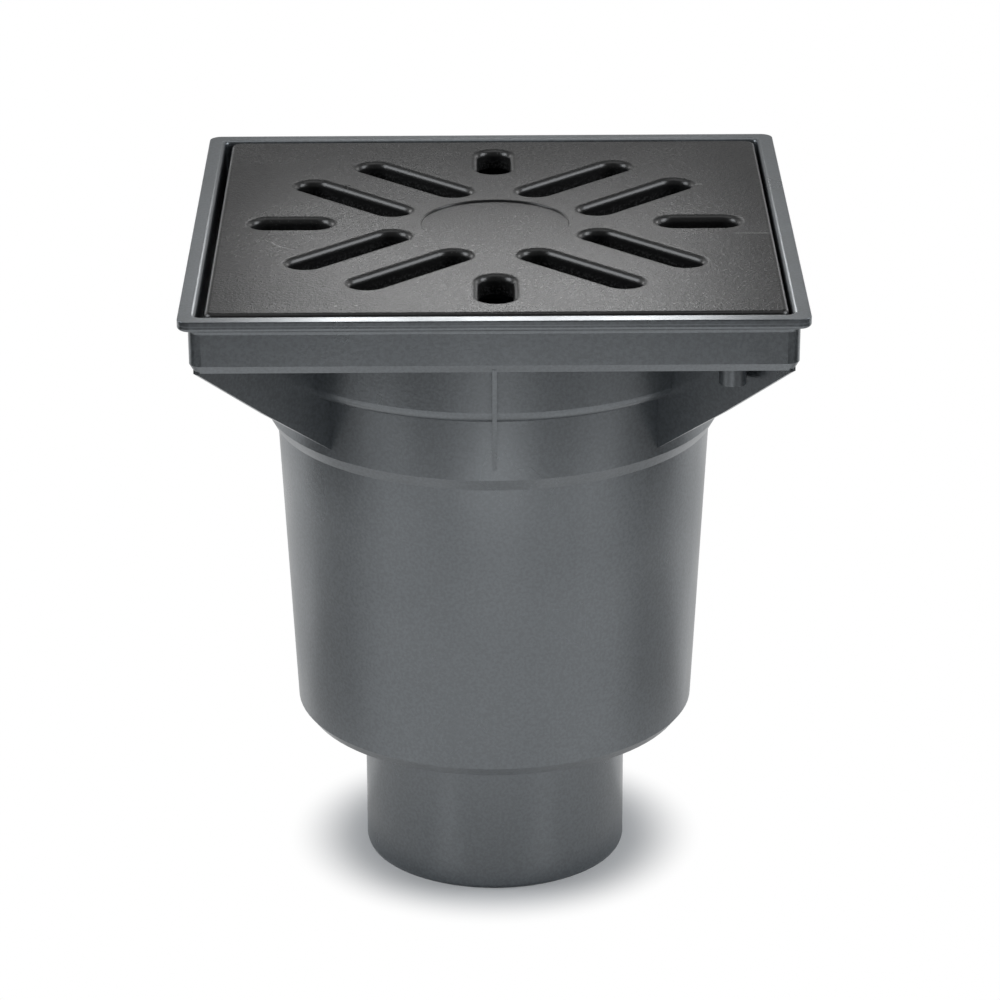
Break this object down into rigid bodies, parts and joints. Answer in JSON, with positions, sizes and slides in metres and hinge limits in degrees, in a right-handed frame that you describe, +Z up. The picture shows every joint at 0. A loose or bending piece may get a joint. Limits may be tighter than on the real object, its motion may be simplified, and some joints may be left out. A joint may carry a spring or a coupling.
{
  "type": "gully trap",
  "caption": "Yard gully with a square slotted cast-iron grate, stepped round plastic body, lift-out bucket, bell water trap and a vertical pipe outlet.",
  "frame": {"origin": "centre of the outlet spigot's open end, which the part stands on", "axes": "+Z up the pipe axis to the grate, +X and +Y square to the frame's sides, the picture's front is -Y"},
  "size_m": [0.244, 0.244, 0.2762],
  "materials": {
    "body_plastic": "matt, finely grained",
    "grate_iron": "black-dipped casting, finely rough",
    "bucket_plastic": "matt, finely grained",
    "bell_plastic": "matt, finely grained",
    "cup_plastic": "matt, finely grained",
    "seal_rubber": "smooth rubber"
  },
  "bodies": {
    "root": {"gully_body": "body_plastic", "grate": "grate_iron", "sludge_bucket": "bucket_plastic", "trap_bell": "bell_plastic", "trap_cup": "cup_plastic", "trap_seal": "seal_rubber"}
  },
  "joints": []
}
